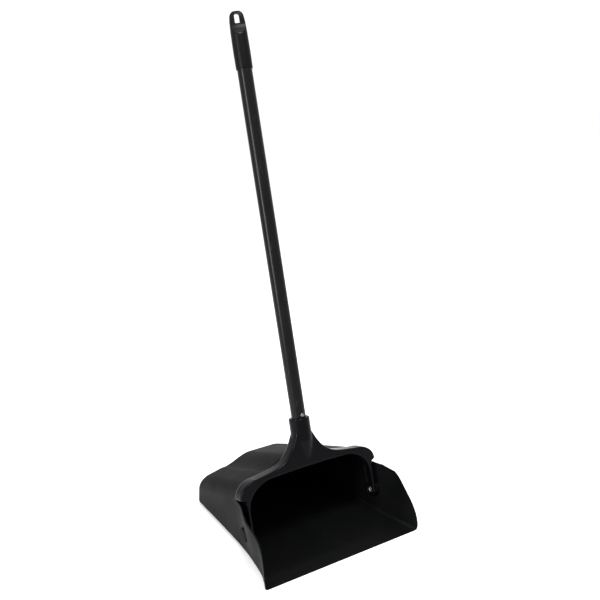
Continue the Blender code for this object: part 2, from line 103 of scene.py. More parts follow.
GRIP_TURN = math.radians(-26)
PIN_RADIUS = 0.0040
BOSS_RADIUS = 0.0125
BOSS_INNER = 0.1364
BOSS_OUTER = 0.1464
PIN_END = 0.1430
WHEEL_X = 0.085
WHEEL_RADIUS = 0.0125
WHEEL_HALF_WIDTH = 0.0075
WHEEL_DEPTH = 0.3005
AXLE_RADIUS = 0.0020
AXLE_OVERHANG = 0.0036
STOP_RIVET_HEIGHT = SOCKET_TOP + 0.0048
STOP_SHANK = 0.0018
STOP_HEAD_RADIUS = 0.0035
STOP_HEAD_HEIGHT = 0.0019
RIVET_HEAD_RADIUS = 0.0040
RIVET_HEAD_HEIGHT = 0.0018
RIVET_DEPTH = TUBE_RADIUS - TUBE_WALL - 0.0012
PIN_WASHER_THICKNESS = 0.0010
PIN_WASHER_RADIUS = 0.0082
THRUST_WASHER_RADIUS = 0.0105
LIP_CHAMFER = 0.0045
GAP = 0.0003
FLOOR_LINES, CORNER_LINES, EAR_LINES = 14, 6, 18
FILLET_LINES, SHOULDER_LINES, DOME_LINES = 12, 6, 26
SMOOTH_ANGLE = 35.0
SIDES = (("left", -1), ("right", 1))

PAN, HANDLE = "pan", "handle"
TO_HANDLE = (Matrix.Translation((0, LIP_Y + PIVOT_DEPTH, PIVOT_Z))
             @ Matrix.Rotation(-HANDLE_LEAN, 4, "X"))
TO_GRIP = TO_HANDLE @ Matrix.Rotation(GRIP_TURN, 4, "Z")


# ---- procedural materials ---------------------------------------------------------------------------
class Nodes:
    """A small helper that adds and wires shader nodes in one material."""

    def __init__(self, name):
        self.material = bpy.data.materials.new(name)
        self.material.use_nodes = True
        self.tree = self.material.node_tree
        self.shader = self.tree.nodes["Principled BSDF"]
        self.place = self.tree.nodes.new("ShaderNodeTexCoord").outputs["Object"]

    def add(self, kind, inputs=(), **settings):
        node = self.tree.nodes.new(kind)
        for key, value in settings.items():
            setattr(node, key, value)
        for key, value in dict(inputs).items():
            if isinstance(value, bpy.types.NodeSocket):
                self.tree.links.new(value, node.inputs[key])
            else:
                node.inputs[key].default_value = value
        return node

    def stretched(self, scale):
        return self.add("ShaderNodeMapping", {"Vector": self.place, "Scale": scale}).outputs["Vector"]

    def noise(self, scale, detail=3.0, roughness=0.5, vector=None):
        inputs = {"Vector": vector or self.place, "Scale": scale, "Detail": detail,
                  "Roughness": roughness}
        return self.add("ShaderNodeTexNoise", inputs).outputs["Fac"]

    def band(self, value, low, high, out_low=0.0, out_high=1.0):
        inputs = {"Value": value, "From Min": low, "From Max": high, "To Min": out_low,
                  "To Max": out_high}
        return self.add("ShaderNodeMapRange", inputs).outputs["Result"]

    def maths(self, operation, a, b):
        return self.add("ShaderNodeMath", {0: a, 1: b}, operation=operation).outputs["Value"]

    def mix_colour(self, factor, a, b):
        node = self.add("ShaderNodeMix", data_type="RGBA")
        for socket, value in ((node.inputs[0], factor), (node.inputs[6], a), (node.inputs[7], b)):
            if isinstance(value, bpy.types.NodeSocket):
                self.tree.links.new(value, socket)
            elif isinstance(value, tuple):
                socket.default_value = (*value, 1.0)
            else:
                socket.default_value = value
        return node.outputs[2]

    def link(self, output, name):
        self.tree.links.new(output, self.shader.inputs[name])

    def bump(self, height, depth, after=None):
        inputs = {"Height": height, "Distance": depth, "Strength": 1.0}
        if after:
            inputs["Normal"] = after
        return self.add("ShaderNodeBump", inputs).outputs["Normal"]


def scratches(nodes, turns, density, width):
    """Thin broken lines in a few directions, as a 0 to 1 mask."""
    mask = None
    for turn in turns:
        mapping = nodes.add("ShaderNodeMapping", {"Vector": nodes.place, "Rotation": turn,
                                                  "Scale": (6.0, density, density)})
        lines = nodes.noise(9.0, 2.0, 0.55, mapping.outputs["Vector"])
        line = nodes.band(lines, 0.5 - width, 0.5 + width, -1.0, 1.0)
        line = nodes.maths("ABSOLUTE", line, 0.0)
        line = nodes.band(line, 0.0, 0.6, 1.0, 0.0)
        gate = nodes.band(nodes.noise(13.0 + 4 * turn[2], 2.0), 0.52, 0.66)
        line = nodes.maths("MULTIPLY", line, gate)
        mask = line if mask is None else nodes.maths("MAXIMUM", mask, line)
    return mask


def moulded_plastic(name, colour, worn, roughness, grain_depth, scuff, dust=0.0, specular=0.07):
    """Injection-moulded plastic: fine spark grain, uneven gloss, faint scuffs and a little dust."""
    nodes = Nodes(name)
    cloud = nodes.noise(14.0, 4.0, 0.6)
    flow = nodes.noise(3.2, 3.0, 0.55)
    tint = nodes.mix_colour(nodes.band(flow, 0.3, 0.7), colour, tuple(c * 1.28 for c in colour))
    marks = scratches(nodes, ((0.2, 0.1, 0.4), (0.5, 0.9, 1.7)), 210.0, 0.035)
    tint = nodes.mix_colour(nodes.maths("MULTIPLY", marks, scuff * 0.5), tint, worn)
    if dust:
        specks = nodes.band(nodes.noise(520.0, 2.0, 0.7), 0.66, 0.80)
        patches = nodes.band(nodes.noise(11.0, 3.0), 0.42, 0.72)
        amount = nodes.maths("MULTIPLY", nodes.maths("MULTIPLY", specks, patches), dust)
        tint = nodes.mix_colour(amount, tint, (0.16, 0.155, 0.15))
    nodes.link(tint, "Base Color")
    gloss = nodes.band(cloud, 0.25, 0.75, roughness - 0.055, roughness + 0.065)
    gloss = nodes.maths("ADD", gloss, nodes.maths("MULTIPLY", marks, 0.16 * scuff))
    nodes.link(gloss, "Roughness")
    grain = nodes.noise(1500.0, 2.0, 0.6)
    ripple = nodes.noise(46.0, 2.0, 0.5)
    normal = nodes.bump(ripple, 0.00012)
    normal = nodes.bump(grain, grain_depth, normal)
    nodes.link(normal, "Normal")
    nodes.shader.inputs["IOR"].default_value = 1.49
    nodes.shader.inputs["Specular IOR Level"].default_value = specular
    return nodes.material


def coated_tube(name):
    """Glossy vinyl coat on a drawn steel tube: faint orange peel and fine lengthwise rubs."""
    nodes = Nodes(name)
    along = nodes.stretched((260.0, 260.0, 5.0))
    rubs = nodes.noise(1.0, 3.0, 0.6, along)
    blotch = nodes.noise(9.0, 3.0, 0.5)
    tint = nodes.mix_colour(nodes.band(blotch, 0.3, 0.7), (0.0016, 0.0016, 0.0018),
                            (0.0028, 0.0028, 0.0030))
    fine = nodes.band(rubs, 0.60, 0.78)
    tint = nodes.mix_colour(nodes.maths("MULTIPLY", fine, 0.25), tint, (0.035, 0.035, 0.036))
    nodes.link(tint, "Base Color")
    gloss = nodes.band(blotch, 0.25, 0.75, 0.25, 0.31)
    nodes.link(nodes.maths("ADD", gloss, nodes.maths("MULTIPLY", fine, 0.10)), "Roughness")
    peel = nodes.noise(340.0, 2.0, 0.5)
    nodes.link(nodes.bump(peel, 0.000003, nodes.bump(rubs, 0.000003)), "Normal")
    nodes.shader.inputs["IOR"].default_value = 1.50
    nodes.shader.inputs["Specular IOR Level"].default_value = 0.13
    return nodes.material


def plated_steel(name, colour, roughness):
    """Zinc-plated steel with turning marks and a few dull spots."""
    nodes = Nodes(name)
    marks = nodes.noise(1.0, 3.0, 0.6, nodes.stretched((40.0, 900.0, 900.0)))
    spots = nodes.noise(330.0, 3.0, 0.6)
    dull = nodes.band(spots, 0.52, 0.70)
    tint = nodes.mix_colour(dull, colour, tuple(c * 0.62 for c in colour))
    nodes.link(tint, "Base Color")
    gloss = nodes.band(marks, 0.25, 0.75, roughness - 0.07, roughness + 0.09)
    nodes.link(nodes.maths("ADD", gloss, nodes.maths("MULTIPLY", dull, 0.15)), "Roughness")
    nodes.link(nodes.bump(marks, 0.00002), "Normal")
    nodes.shader.inputs["Metallic"].default_value = 1.0
    return nodes.material


# ---- mesh helpers -----------------------------------------------------------------------------------
def smoothstep(value):
    value = min(1.0, max(0.0, value))
    return value * value * (3 - 2 * value)


def mix(a, b, t):
    return a + (b - a) * t


def make_object(name, bm, material=None):
    bmesh.ops.remove_doubles(bm, verts=bm.verts, dist=1e-7)
    bmesh.ops.recalc_face_normals(bm, faces=bm.faces)
    mesh = bpy.data.meshes.new(name)
    bm.to_mesh(mesh)
    bm.free()
    mesh.shade_smooth()
    mesh.set_sharp_from_angle(angle=math.radians(SMOOTH_ANGLE))
    item = bpy.data.objects.new(name, mesh)
    bpy.context.scene.collection.objects.link(item)
    if material:
        mesh.materials.append(material)
    return item


def bake_modifiers(item):
    """Replace an object's mesh by its evaluated one, so that no modifier is left on it."""
    graph = bpy.context.evaluated_depsgraph_get()
    mesh = bpy.data.meshes.new_from_object(item.evaluated_get(graph))
    old = item.data
    item.modifiers.clear()
    item.data = mesh
    bpy.data.meshes.remove(old)
    mesh.name = item.name


def cut_and_join(item, steps, smooth_angle=SMOOTH_ANGLE):
    """Apply a list of (operation, helper) booleans in order and remove the helpers."""
    for operation, helper in steps:
        modifier = item.modifiers.new(helper.name, "BOOLEAN")
        modifier.operation = operation
        modifier.solver = "EXACT"
        modifier.object = helper
        bake_modifiers(item)
    for _, helper in steps:
        bpy.data.objects.remove(helper, do_unlink=True)
    item.data.shade_smooth()
    item.data.set_sharp_from_angle(angle=math.radians(smooth_angle))


def loft(bm, rings):
    rows = [[bm.verts.new(point) for point in ring] for ring in rings]
    count = len(rows[0])
    for row, following in zip(rows, rows[1:]):
        for i in range(count):
            j = (i + 1) % count
            bm.faces.new((row[i], row[j], following[j], following[i]))
    bm.faces.new(list(reversed(rows[0])))
    bm.faces.new(rows[-1])


def turned(name, profile, axis, matrix, material=None, sides=64):
    """Turn a closed (radius, distance) profile about an axis of the given frame."""
    place = {"Z": lambda x, y, d: (x, y, d), "X": lambda x, y, d: (d, x, y),
             "Y": lambda x, y, d: (x, d, y)}[axis]
    bm = bmesh.new()
    rings = []
    for i in range(sides):
        turn = 2 * math.pi * i / sides
        rings.append([bm.verts.new(matrix @ Vector(place(r * math.cos(turn), r * math.sin(turn), d)))
                      for r, d in profile])
    count = len(profile)
    for i in range(sides):
        row, following = rings[i], rings[(i + 1) % sides]
        for k in range(count):
            m = (k + 1) % count
            bm.faces.new((row[k], row[m], following[m], following[k]))
    bmesh.ops.remove_doubles(bm, verts=bm.verts, dist=1e-7)
    bmesh.ops.dissolve_degenerate(bm, edges=bm.edges, dist=1e-7)
    return make_object(name, bm, material)


def rounded_box(name, low, high, radius, matrix=Matrix(), segments=3):
    bm = bmesh.new()
    bmesh.ops.create_cube(bm, size=1.0)
    size = Vector(high) - Vector(low)
    centre = (Vector(high) + Vector(low)) / 2
    for vert in bm.verts:
        vert.co = Vector(a * b for a, b in zip(vert.co, size)) + centre
    bmesh.ops.bevel(bm, geom=list(bm.edges), offset=radius, segments=segments, affect="EDGES",
                    profile=0.5)
    for vert in bm.verts:
        vert.co = matrix @ vert.co
    return make_object(name, bm)


def rounded(profile, radius):
    """Round every corner of a closed (radius, distance) profile that is away from its axis."""
    points = []
    count = len(profile)
    steps = 3
    for i, corner in enumerate(profile):
        before, after = Vector(profile[i - 1]), Vector(profile[(i + 1) % count])
        here = Vector(corner)
        a, b = before - here, after - here
        reach = min(radius, a.length * 0.45, b.length * 0.45)
        straight = a.length < 1e-9 or b.length < 1e-9 or abs(a.normalized().dot(b.normalized())) > 0.995
        if corner[0] < 1e-9 or straight:
            points.append(tuple(here))
            continue
        start, end = here + a.normalized() * reach, here + b.normalized() * reach
        for k in range(steps + 1):
            t = k / steps
            point = start * (1 - t) ** 2 + here * 2 * t * (1 - t) + end * t ** 2
            points.append(tuple(point))
    return points


# ---- the pan ----------------------------------------------------------------------------------------
def floor_half_width(depth):
    flare = LIP_HALF_WIDTH - REAR_HALF_WIDTH - SIDE_TAPER
    return (REAR_HALF_WIDTH + SIDE_TAPER * (1 - depth / PAN_DEPTH)
            + flare * math.exp(-depth / FLARE_LENGTH))


def wall_lean(depth):
    return WALL_LEAN + EAR_LEAN * math.exp(-((depth - EAR_LEAN_DEPTH) / EAR_LEAN_SPREAD) ** 2)


def hood_height(x, depth):
    level = HOOD_LEVEL - HOOD_SLOPE * (depth - HOOD_REFERENCE)
    dome = DOME_HEIGHT * (1 - smoothstep((x - DOME_FLAT) / (DOME_EDGE - DOME_FLAT)))
    return level + dome - SHOULDER_SLOPE * max(0.0, x - SHOULDER_START)


def underside(depth):
    return FLOOR_LIFT * smoothstep(depth / FLOOR_RAMP)


def arc_between(before, corner, after, radius, t):
    """The point at fraction t of the arc that rounds a corner between two straight lines."""
    a = (Vector(before) - Vector(corner)).normalized()
    b = (Vector(after) - Vector(corner)).normalized()
    half = a.angle(b) / 2
    middle = (a + b).normalized()
    centre = Vector(corner) + middle * (radius / math.sin(half))
    start = Vector(corner) + a * (radius / math.tan(half)) - centre
    end = Vector(corner) + b * (radius / math.tan(half)) - centre
    turn = start.angle_signed(end)
    c, s = math.cos(-turn * t), math.sin(-turn * t)
    return centre + Vector((start.x * c - start.y * s, start.x * s + start.y * c))


def section_frame(depth, inset):
    """The straight lines that bound the cross-section at one depth."""
    foot_z = underside(depth) + inset * 0.15
    foot_x = floor_half_width(depth) - inset
    lean = wall_lean(depth)
    corner_x = foot_x + lean * HOOD_LEVEL
    for _ in range(8):
        corner_z = hood_height(corner_x + inset, depth) - inset
        corner_x = foot_x + lean * corner_z
    shoulder = (SHOULDER_START, hood_height(SHOULDER_START, depth) - inset)
    return foot_x, foot_z, lean, (corner_x, corner_z), shoulder


def surface(kind, t, depth, inset=0.0):
    """A point (x, z) of the outer skin, by region and fraction within it."""
    foot_x, foot_z, lean, corner, shoulder = section_frame(depth, inset)
    corner_foot = (foot_x + lean * foot_z, foot_z)
    floor_radius = max(0.002, FLOOR_CORNER - inset * 0.6)
    hood_radius = HOOD_CORNER - inset * 0.7
    if kind == "floor":
        edge = arc_between((0, foot_z), corner_foot, corner, floor_radius, 0.0)
        return Vector((edge.x * t, foot_z))
    if kind == "corner":
        return arc_between((0, foot_z), corner_foot, corner, floor_radius, t)
    if kind == "wall":
        low = arc_between((0, foot_z), corner_foot, corner, floor_radius, 1.0)
        return low.lerp(arc_between(corner_foot, corner, shoulder, hood_radius, 0.0), t)
    if kind == "fillet":
        return arc_between(corner_foot, corner, shoulder, hood_radius, t)
    if kind == "shoulder":
        return arc_between(corner_foot, corner, shoulder, hood_radius, 1.0).lerp(Vector(shoulder), t)
    x = SHOULDER_START * (1 - t)
    return Vector((x, hood_height(x, depth) - inset))


def mouth_depth(z, above_ear):
    """How far back the mouth is cut at a height."""
    if above_ear:
        stand_off = (YOKE_HALF_DEPTH + 2 * GAP) / math.cos(HANDLE_LEAN)
        return PIVOT_DEPTH + stand_off + (z - PIVOT_Z) * math.tan(HANDLE_LEAN)
    return EAR_CENTRE - math.sqrt(max(0.0, EAR_RADIUS ** 2 - z ** 2))


def place_on_pan(point, depth):
    pull = BACK_LEAN * (depth / PAN_DEPTH) ** 4
    return Vector((point.x, LIP_Y + depth - pull * point.y, point.y))


def pan_lines():
    """Every lengthwise line of the half skin as (region, fraction), and how many start on the ear."""
    split_depth = mouth_depth(EAR_RADIUS, True)
    lines = [("floor", i / FLOOR_LINES) for i in range(FLOOR_LINES)]
    lines += [("corner", i / CORNER_LINES) for i in range(CORNER_LINES)]
    lines += [("wall", i / EAR_LINES) for i in range(EAR_LINES + 1)]
    ear_count = len(lines)
    lines += [("fillet", i / FILLET_LINES) for i in range(1, FILLET_LINES)]
    lines += [("shoulder", i / SHOULDER_LINES) for i in range(SHOULDER_LINES)]
    lines += [("dome", i / DOME_LINES) for i in range(DOME_LINES + 1)]
    return lines, ear_count, split_depth


def hood_start(kind, t, first_guess):
    depth = first_guess
    for _ in range(40):
        depth = mix(depth, max(0.0, mouth_depth(surface(kind, t, depth).y, True)), 0.6)
    return depth


def ear_point(kind, t, start, split_depth, fraction):
    """Points of the ear and front floor: wall heights run straight back to the hood's front edge."""
    depth = mix(start, split_depth, fraction)
    if kind != "wall":
        return surface(kind, t, depth), depth
    low = surface("wall", 0.0, depth)
    lean = wall_lean(depth)
    target = surface("wall", t, split_depth).y
    base = surface("wall", 0.0, split_depth).y
    height = low.y + (target - base) * (EAR_RADIUS - low.y) / (EAR_RADIUS - base)
    return Vector((low.x + lean * (height - low.y), height)), depth


def ear_start(kind, t, split_depth):
    depth = 0.0
    for _ in range(60):
        height = ear_point(kind, t, depth, split_depth, 0.0)[0].y
        depth = mix(depth, max(0.0, mouth_depth(height, False)), 0.5)
    return depth


def build_pan(material):
    lines, ear_count, split_depth = pan_lines()
    front_steps, back_steps, round_steps = 26, 34, 10
    straight_end = PAN_DEPTH - REAR_CORNER
    columns = []
    thickness = []
    for index, (kind, t) in enumerate(lines):
        column = []
        weights = []
        if index < ear_count:
            start = 0.0 if kind == "floor" else ear_start(kind, t, split_depth)
            for j in range(front_steps):
                point, depth = ear_point(kind, t, start, split_depth, (j / front_steps) ** 1.25)
                column.append(place_on_pan(point, depth))
                weights.append(lip_weight(depth))
            back_start = split_depth
        else:
            column += [None] * front_steps
            weights += [None] * front_steps
            back_start = hood_start(kind, t, split_depth)
        for j in range(back_steps + 1):
            depth = mix(back_start, straight_end, j / back_steps)
            column.append(place_on_pan(surface(kind, t, depth), depth))
            weights.append(1.0)
        for j in range(1, round_steps + 1):
            turn = math.radians(90) * j / round_steps
            depth = straight_end + REAR_CORNER * math.sin(turn)
            inset = REAR_CORNER * (1 - math.cos(turn)) * 0.8
            column.append(place_on_pan(surface(kind, t, depth, inset), depth))
            weights.append(1.0)
        columns.append(column)
        thickness.append(weights)
    bm = bmesh.new()
    layer = bm.verts.layers.deform.verify()
    made = {}

    def vert(index, j, mirrored):
        point = columns[index][j]
        mirrored = mirrored and point.x > 1e-9
        key = (index, j, mirrored)
        if key not in made:
            made[key] = bm.verts.new((-point.x if mirrored else point.x, point.y, point.z))
            made[key][layer][0] = thickness[index][j]
        return made[key]

    rows = len(columns[0])
    for mirrored in (False, True):
        for index in range(len(columns) - 1):
            for j in range(rows - 1):
                corners = ((index, j), (index + 1, j), (index + 1, j + 1), (index, j + 1))
                if any(columns[a][b] is None for a, b in corners):
                    continue
                loop = [vert(a, b, mirrored) for a, b in corners]
                bm.faces.new(loop if mirrored else list(reversed(loop)))
    rim = [vert(i, rows - 1, False) for i in range(len(columns))]
    rim += [vert(i, rows - 1, True) for i in range(len(columns) - 2, 0, -1)]
    bm.faces.new(rim)
    pan = make_object("pan_shell", bm, material)
    pan.vertex_groups.new(name="wall")
    solid = pan.modifiers.new("wall", "SOLIDIFY")
    solid.thickness = PAN_WALL
    solid.offset = -1.0
    solid.use_even_offset = True
    solid.vertex_group = "wall"
    bake_modifiers(pan)
    soften_rim(pan)
    steps = [("DIFFERENCE", turned("socket_relief", socket_profile(2 * GAP), "Z", TO_HANDLE, sides=96))]
    for side, sign in SIDES:
        steps += pivot_boss(side, sign)
        steps += wheel_well(side, sign)
    cut_and_join(pan, steps)
    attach(pan, PAN)
    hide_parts("pan_body")


def lip_weight(depth):
    """Wall thickness as a fraction of the full wall: a thin lip with a chamfer along its front."""
    chamfer = mix(0.30, 0.66, min(1.0, depth / LIP_CHAMFER))
    return mix(chamfer, 1.0, smoothstep((depth - LIP_CHAMFER) / (FLOOR_RAMP - LIP_CHAMFER)))


def soften_rim(pan):
    """Round the moulded edges of the mouth, but leave the lip's thin front edge crisp."""
    bm = bmesh.new()
    bm.from_mesh(pan.data)
    bm.edges.ensure_lookup_table()
    chosen = []
    for edge in bm.edges:
        if len(edge.link_faces) != 2 or edge.calc_face_angle() < math.radians(50):
            continue
        middle = (edge.verts[0].co + edge.verts[1].co) / 2
        if middle.z > 0.010 and middle.y - LIP_Y < PAN_DEPTH * 0.6:
            chosen.append(edge)
    bmesh.ops.bevel(bm, geom=chosen, offset=0.0008, segments=3, affect="EDGES", profile=0.5,
                    clamp_overlap=True)
    bm.to_mesh(pan.data)
    bm.free()


def pivot_boss(side, sign):
    """A round boss with a rolled edge on the ear's outside, bored for the pivot pin."""
    edge = 0.0014
    profile = [(0, BOSS_INNER), (BOSS_RADIUS, BOSS_INNER)]
    for i in range(7):
        turn = math.radians(90) * i / 6
        profile.append((BOSS_RADIUS - edge * (1 - math.cos(turn)),
                        BOSS_OUTER - edge + edge * math.sin(turn)))
    profile.append((0, BOSS_OUTER))
    pivot = Matrix.Translation((0, LIP_Y + PIVOT_DEPTH, PIVOT_Z))
    boss = turned(f"{side}_boss", [(r, sign * d) for r, d in profile], "X", pivot)
    bore = PIN_RADIUS + GAP
    start, end = sign * (BOSS_INNER - 0.004), sign * (PIN_END + GAP)
    hole = turned(f"{side}_boss_hole", [(0, start), (bore, start), (bore, end), (0, end)], "X", pivot,
                  sides=40)
    return [("UNION", boss), ("DIFFERENCE", hole)]


def wheel_well(side, sign):
    """The moulded housing of a rear wheel, open underneath and behind, with slots for the axle."""
    x, y = sign * WHEEL_X, LIP_Y + WHEEL_DEPTH
    wall, room = 0.0040, 0.0016
    half = WHEEL_HALF_WIDTH + room
    top = 2 * WHEEL_RADIUS + room
    front = y - WHEEL_RADIUS - room
    housing = rounded_box(f"{side}_housing", (x - half - wall, front - PAN_WALL, FLOOR_LIFT + 0.0008),
                          (x + half + wall, LIP_Y + PAN_DEPTH - 0.0045, top + PAN_WALL), 0.0012)
    well = rounded_box(f"{side}_well", (x - half, front, -0.01), (x + half, y + 0.05, top), 0.0008)
    seat_half = half + wall * 0.6
    seat = AXLE_RADIUS + GAP
    place = Matrix.Translation((x, y, WHEEL_RADIUS))
    bore = turned(f"{side}_axle_bore", [(0, -seat_half), (seat, -seat_half), (seat, seat_half),
                                        (0, seat_half)], "X", place, sides=32)
    slot = rounded_box(f"{side}_axle_slot", (x - seat_half, y - seat * 0.995, -0.01),
                       (x + seat_half, y + seat * 0.995, WHEEL_RADIUS), 0.0002, segments=1)
    return [("UNION", housing), ("DIFFERENCE", well), ("DIFFERENCE", bore), ("DIFFERENCE", slot)]


def socket_profile(spare):
    """The tube socket's (radius, height) outline, tapering into the yoke, with spare room around it."""
    base = ARCH_HEIGHT + 0.012
    r = SOCKET_RADIUS + spare
    lip = 0.0022
    profile = [(0, base), (YOKE_HALF_DEPTH - 0.0006 + spare, base), (r, SOCKET_BASE), (r, SOCKET_TOP - lip)]
    for i in range(1, 7):
        turn = math.radians(90) * i / 6
        profile.append((r - lip * (1 - math.cos(turn)), SOCKET_TOP - lip * (1 - math.sin(turn))))
    return profile + [(0, SOCKET_TOP)]


# ---- the yoke ---------------------------------------------------------------------------------------
def yoke_bands():
    """Matching (inner, outer) points of the right half, from the arm's foot to the middle."""
    foot = YOKE_HALF_DEPTH
    bands = []
    foot_steps = 12
    for i in range(foot_steps + 1):
        h = -foot * math.cos(math.radians(90) * i / foot_steps)
        bands.append(((ARM_INNER, h), (ARM_OUTER, h)))
    for i in range(1, 9):
        bands.append(((ARM_INNER, ARM_STRAIGHT * i / 8), (ARM_OUTER, ARM_STRAIGHT * i / 8)))
    inner_rise = ARCH_HEIGHT - ARM_STRAIGHT
    underhang_turn, shoulder_turn = 22, 33

    def inner_bend(degrees):
        turn = math.radians(degrees)
        return (ARM_INNER - ARCH_REACH * (1 - math.cos(turn)),
                ARM_STRAIGHT + inner_rise * math.sin(turn))

    overhang = SHOULDER_FOOT - 0.005
    for i in range(1, 6):
        t = i / 5
        bands.append((inner_bend(underhang_turn * t), (ARM_OUTER, mix(ARM_STRAIGHT, overhang, t))))
    for i in range(1, 4):
        t = i / 3
        bands.append((inner_bend(mix(underhang_turn, shoulder_turn, t)),
                      (mix(ARM_OUTER, SHOULDER_OUTER, smoothstep(t)), mix(overhang, SHOULDER_FOOT, t))))
    bend_steps = 16
    for i in range(1, bend_steps + 1):
        t = i / bend_steps
        turn = math.radians(90) * t
        outer = (SHOULDER_OUTER - (SHOULDER_OUTER - SHOULDER_TOP[0]) * (1 - math.cos(turn)),
                 mix(SHOULDER_FOOT, SHOULDER_TOP[1], math.sin(turn)))
        bands.append((inner_bend(mix(shoulder_turn, 90, t)), outer))
    sweep_steps = 40
    last_inner = bands[-1][0][0]
    neck = SOCKET_RADIUS * 0.93
    for i in range(1, sweep_steps + 1):
        t = i / sweep_steps
        rise = (NECK_HEIGHT - SHOULDER_TOP[1]) * (0.22 * t + 0.78 * t ** 4.6)
        bands.append(((mix(last_inner, neck, t), ARCH_HEIGHT),
                      (mix(SHOULDER_TOP[0], neck, t), SHOULDER_TOP[1] + rise)))
    bands.append(((0.0, ARCH_HEIGHT), (0.0, NECK_HEIGHT)))
    return bands


def band_ring(inner, outer, half_depth, corner):
    """A rounded rectangle between two points of the band."""
    centre = (Vector(inner) + Vector(outer)) / 2
    along = (Vector(outer) - Vector(inner)) / 2
    half = along.length
    along.normalize()
    radius = min(corner, 0.84 * half, 0.84 * half_depth)
    steps = 6
    ring = []
    for quarter, (su, sv) in enumerate(((1, 1), (-1, 1), (-1, -1), (1, -1))):
        for i in range(steps + 1):
            turn = math.radians(90) * (quarter + i / steps)
            u = su * (half - radius) + radius * math.cos(turn)
            v = sv * (half_depth - radius) + radius * math.sin(turn)
            ring.append((centre.x + along.x * u, v, centre.y + along.y * u))
    return ring


def yoke_half_depth(h):
    if h >= 0:
        return YOKE_HALF_DEPTH
    return max(0.0012, math.sqrt(max(0.0, YOKE_HALF_DEPTH ** 2 - h ** 2)))


def build_yoke(material):
    bm = bmesh.new()
    right = yoke_bands()
    left = [((-a[0], a[1]), (-b[0], b[1])) for a, b in reversed(right[:-1])]
    rings = []
    for inner, outer in right + left:
        middle = (inner[1] + outer[1]) / 2
        rings.append(band_ring(inner, outer, yoke_half_depth(middle), 0.0046))
    loft(bm, rings)
    yoke = make_object("yoke_casting", bm, material)
    cut_and_join(yoke, [("UNION", turned("socket", socket_profile(0.0), "Z", Matrix(), sides=96))])
    remesh = yoke.modifiers.new("skin", "REMESH")
    remesh.mode = "VOXEL"
    remesh.voxel_size = 0.0009
    bake_modifiers(yoke)
    blend = yoke.modifiers.new("blend", "SMOOTH")
    blend.factor = 0.5
    blend.iterations = 6
    bake_modifiers(yoke)
    neck = yoke.vertex_groups.new(name="neck")
    for vert in yoke.data.vertices:
        x, _, h = vert.co
        weight = (smoothstep((0.046 - abs(x)) / 0.018) * smoothstep((h - 0.092) / 0.014)
                  * smoothstep((SOCKET_TOP - 0.006 - h) / 0.008))
        if weight > 0:
            neck.add([vert.index], weight, "REPLACE")
    fillet = yoke.modifiers.new("fillet", "SMOOTH")
    fillet.factor = 0.5
    fillet.iterations = 70
    fillet.vertex_group = "neck"
    bake_modifiers(yoke)
    wide, above = TUBE_RADIUS + GAP, SOCKET_TOP + 0.01
    bore = turned("socket_bore", [(0, SOCKET_FLOOR), (wide, SOCKET_FLOOR), (wide, above), (0, above)],
                  "Z", Matrix(), sides=96)
    steps = [("DIFFERENCE", bore)]
    pin_room = PIN_RADIUS + GAP
    groove_half = YOKE_HALF_DEPTH - 0.0052
    groove_depth, groove_bottom, groove_top = 0.0022, 0.0125, 0.047
    for side, sign in SIDES:
        low, high = sign * (ARM_INNER - 0.01), sign * (ARM_OUTER + 0.01)
        hole = turned(f"{side}_arm_hole", [(0, low), (pin_room, low), (pin_room, high), (0, high)], "X",
                      Matrix(), sides=40)
        steps.append(("DIFFERENCE", hole))
        face = sign * ARM_INNER
        reach = sorted((face - sign * 0.004, face + sign * groove_depth))
        groove = rounded_box(f"{side}_arm_groove", (reach[0], -groove_half, groove_bottom),
                             (reach[1], groove_half, groove_top), 0.0018)
        steps.append(("DIFFERENCE", groove))
    shank = RIVET_SHANK + GAP
    rivet_hole = turned("socket_rivet_hole", [(0, 0), (shank, 0), (shank, 0.03), (0, 0.03)],
                        "Y", Matrix.Translation((0, 0, RIVET_HEIGHT)), sides=32)
    steps.append(("DIFFERENCE", rivet_hole))
    cut_and_join(yoke, steps, 42.0)
    yoke.data.transform(TO_HANDLE)
    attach(yoke, HANDLE)
    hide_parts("yoke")


# ---- tube, grip and small parts ---------------------------------------------------------------------
def build_tube(material):
    outer, inner = TUBE_RADIUS, TUBE_RADIUS - TUBE_WALL
    bottom, top = SOCKET_FLOOR + GAP, TUBE_TOP
    steps = 24
    heights = [mix(bottom, top, i / steps) for i in range(steps + 1)]
    profile = [(inner, h) for h in reversed(heights)] + [(outer, h) for h in heights]
    tube = turned("coated_tube", rounded(profile, 0.0003), "Z", Matrix(), material, sides=96)
    hole = STOP_SHANK + GAP
    stop = turned("stop_hole", [(0, 0), (hole, 0), (hole, -0.02), (0, -0.02)], "Y",
                  Matrix.Translation((0, 0, STOP_RIVET_HEIGHT)), sides=32)
    hole = RIVET_SHANK + GAP
    back = turned("back_hole", [(0, 0), (hole, 0), (hole, 0.02), (0, 0.02)], "Y",
                  Matrix.Translation((0, 0, RIVET_HEIGHT)), sides=32)
    cut_and_join(tube, [("DIFFERENCE", stop), ("DIFFERENCE", back)])
    tube.data.transform(TO_HANDLE)
    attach(tube, HANDLE)
    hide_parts("handle_tube")


